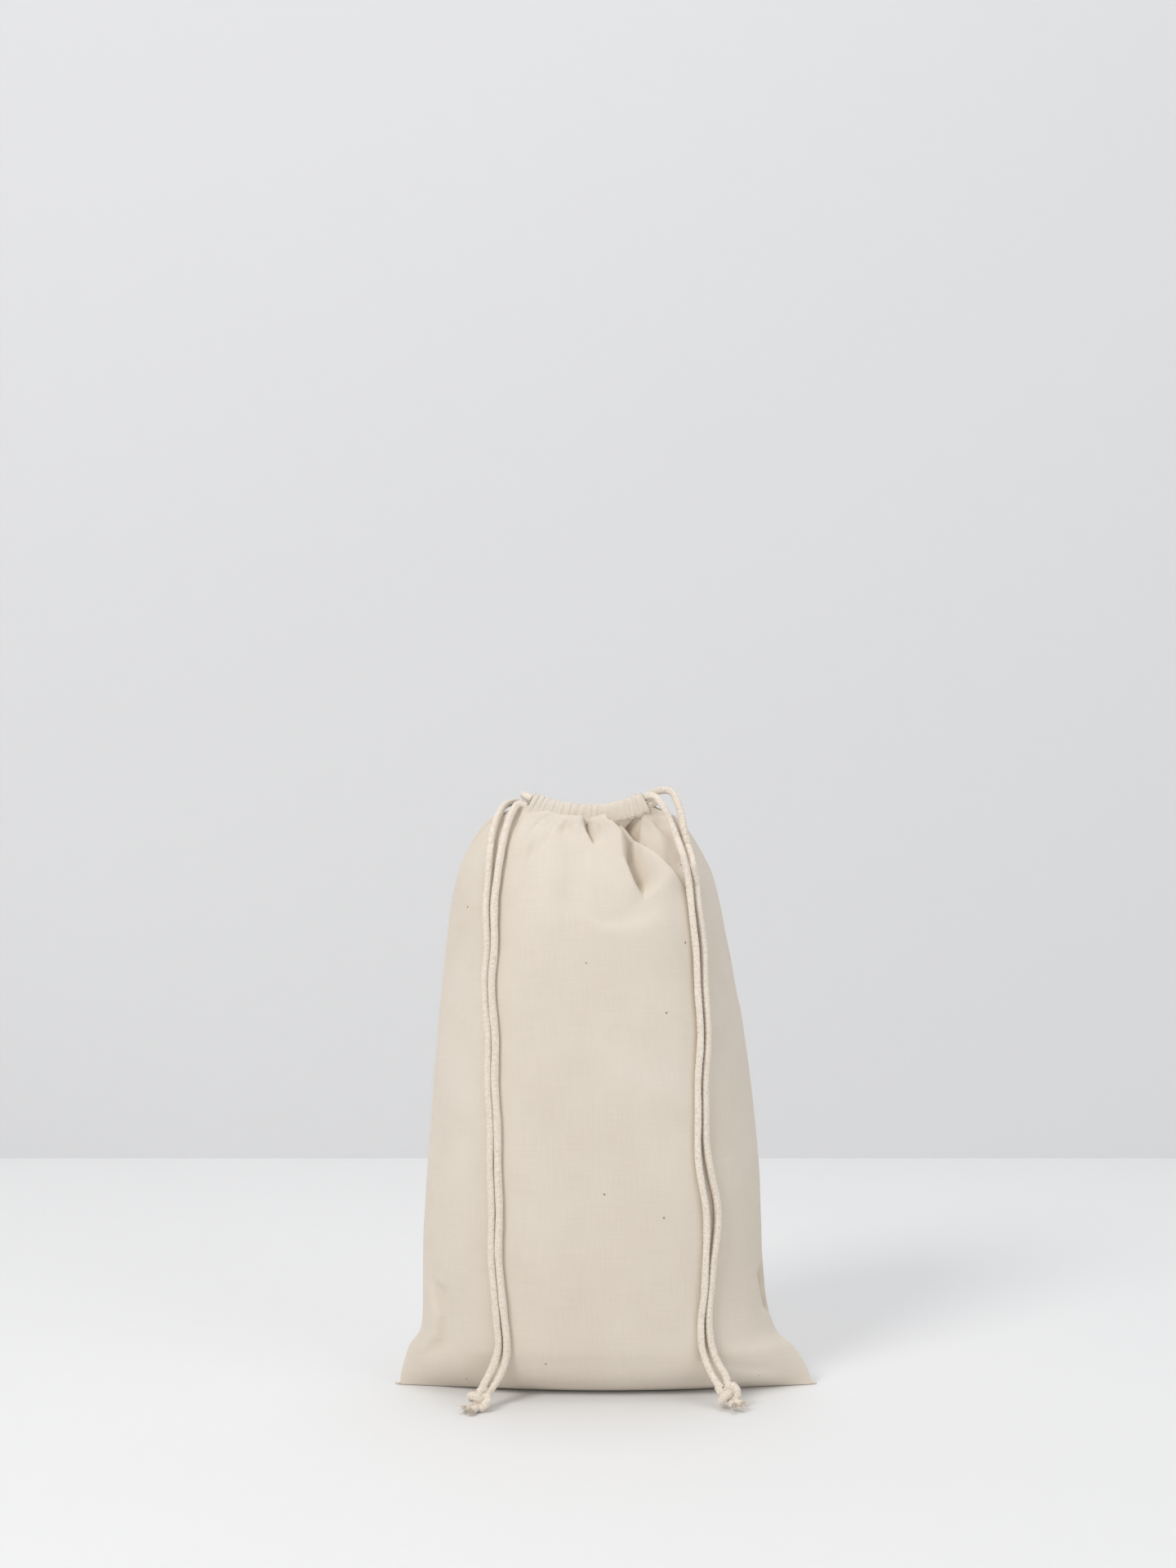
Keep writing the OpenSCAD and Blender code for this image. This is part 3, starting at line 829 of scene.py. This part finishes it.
def finish_cord(hand, centre, turn, tilt, tips, rise):
    """One cord's knot and its cut ends, which point in the directions of tips, in degrees."""
    body = f"{hand}_knot_body"
    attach(knot(f"{hand}_overhand_knot", centre, turn, tilt, f"{hand}_knot", rise), body)
    parts = []
    for k, angle in enumerate(tips):
        d = np.array([math.cos(math.radians(angle)), math.sin(math.radians(angle)), -0.05])
        start = np.array([centre[0], centre[1], TIP_H + rise]) + d * 3.6
        parts += frayed(start, d, 4.2, 31 + k + len(hand))
    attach(joined(f"{hand}_cord_ends", parts, CORD, f"{hand}_cord_tips"), body)


finish_cord("left", (-57, -42.5), 0.5, 0.5, (215, 245), 0.0)
finish_cord("right", (54.5, -39), -0.7, 0.6, (-35, -70), 1.2)


# ---------------------------------------------------------------- seams and stitches
def seam_line(hand):
    """Points along a side seam, from above the ear to the slit."""
    v = np.linspace(SEAM_FOOT, SLIT - 0.5, 120)
    p, _ = base_surface(np.full_like(v, hand), v, -1)
    return p


def allowance(name, line, inward, node):
    """The two raw edges of a seam, standing inside the bag."""
    wave = 0.5 * np.sin(np.arange(len(line)) / 6.0)
    layers = []
    for side in (-1, 1):
        cols = []
        for s in np.linspace(0, 7.6, 9):
            q = line + inward * (0.5 + s)
            q[:, 1] = side * (0.42 + 0.05 * s) + wave * s / 9
            cols.append(q)
        layers.append(np.stack(cols, axis=1))
    strip = np.concatenate([layers[0], layers[1][:, ::-1]], axis=1)
    flat = np.stack(np.meshgrid(np.arange(strip.shape[1]) * 1.0, np.arange(strip.shape[0]) * 1.5), -1)
    obj = new_object(name, grid_mesh(name, strip, flat), HEM)
    thicken(obj, 0.4, 0.0)
    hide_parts(node)
    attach(obj, "bag")


for hand, word in ((-1, "left"), (1, "right")):
    allowance(f"{word}_allowance", seam_line(hand), np.array([-hand, 0.0, 0.0]),
              f"{word}_seam_allowance")
base_x = np.linspace(-BODY_HALF_W * 0.9, BODY_HALF_W * 0.9, 120)
base_line = np.stack([base_x, 0 * base_x, 0 * base_x + 0.9], -1)
allowance("bottom_allowance", base_line, np.array([0.0, 0.0, 1.0]), "bottom_seam_allowance")


def stitch_row(name, centres, directions, length, node, body):
    """A row of separate stitches, each a short plump piece of thread."""
    parts = []
    for c, d in zip(centres, directions):
        s = np.linspace(-length / 2, length / 2, 7)
        path = c + np.outer(s, d / np.linalg.norm(d))
        thick = THREAD_R * np.sqrt(np.maximum(0.05, 1 - (2 * s / length) ** 4))[:, None, None]
        parts.append(capped(ring_tube(path, thick, 8)))
    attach(joined(name, parts, THREAD, node), body)


for hand, word in ((-1, "left"), (1, "right")):
    line = seam_line(hand)
    heights = np.arange(line[0, 2] + 3, line[-1, 2] - 3, STITCH_PITCH)
    x = np.interp(heights, line[:, 2], line[:, 0]) - hand * 4.0
    spots = np.stack([x, np.full_like(x, -1.15), heights], -1)
    stitch_row(f"{word}_side_stitches", spots, [np.array([0.02, 0, 1.0])] * len(spots), 2.2,
               f"{word}_seam_stitches", "bag")
spots = [np.array([x, -1.15, 4.6]) for x in np.arange(-68, 68, STITCH_PITCH)]
stitch_row("base_stitches", spots, [np.array([1.0, 0, 0.02])] * len(spots), 2.2,
           "bottom_seam_stitches", "bag")
for side, word, body in ((-1, "front", "bag"), (1, "back", "back_lip")):
    step = STITCH_PITCH / SAG_R
    angles = np.arange(-SAG_ANGLE + step, SAG_ANGLE - step / 2, step)
    spots, _ = sag_point(angles, SAG_R + CASING_H / 2 - 1.4)
    spots[:, 1] = side * (CASING_Y + CASING_D / 2 + 0.2)
    aims = [np.array([math.cos(a), 0, math.sin(a)]) for a in angles]
    stitch_row(f"{word}_casing_stitches", spots, aims, 1.9, f"{word}_hem_stitches", body)


# ---------------------------------------------------------------- stage and light
def plain(name, colour, rough):
    """A material for the floor and the wall, which aren't part of the bag."""
    return node_tools(name, Base_Color=(*colour, 1), Roughness=rough, Specular_IOR_Level=0.2)[0]


def sheet_of_stage(name, corners, material):
    mesh = bpy.data.meshes.new(name)
    mesh.from_pydata(corners, [], [(0, 1, 2, 3)])
    link_object(name, mesh, material)


# In metres, from here on
WALL_Y, WALL_H, STAGE = 0.62, 3, 4
sheet_of_stage("floor", [(-STAGE, -STAGE, 0), (STAGE, -STAGE, 0), (STAGE, WALL_Y, 0), (-STAGE, WALL_Y, 0)],
               plain("floor", (0.86, 0.86, 0.86), 0.6))
sheet_of_stage("wall", [(-STAGE, WALL_Y, 0), (STAGE, WALL_Y, 0), (STAGE, WALL_Y, WALL_H),
                        (-STAGE, WALL_Y, WALL_H)],
               plain("wall", (0.74, 0.74, 0.745), 0.8))


def area_light(name, place, aim, size, power, colour=(1, 1, 1)):
    light = bpy.data.lights.new(name, "AREA")
    light.shape = "DISK"
    light.size = size
    light.energy = power
    light.color = colour
    obj = link_object(name, light)
    obj.location = place
    obj.rotation_euler = (Vector(aim) - Vector(place)).to_track_quat("-Z", "Y").to_euler()


area_light("key", (-1.3, -1.7, 1.7), (0, 0, 0.14), 0.9, 27.5, (1.0, 0.985, 0.965))
area_light("fill", (1.8, -1.6, 0.9), (0, 0, 0.15), 1.6, 9.5, (0.97, 0.98, 1.0))
area_light("top", (0.1, 0.1, 2.2), (0, 0, 0.1), 1.4, 10)
world = bpy.data.worlds.new("world")
bpy.context.scene.world = world
world.use_nodes = True
world.node_tree.nodes["Background"].inputs["Color"].default_value = (0.95, 0.97, 1.0, 1)
world.node_tree.nodes["Background"].inputs["Strength"].default_value = 0.49
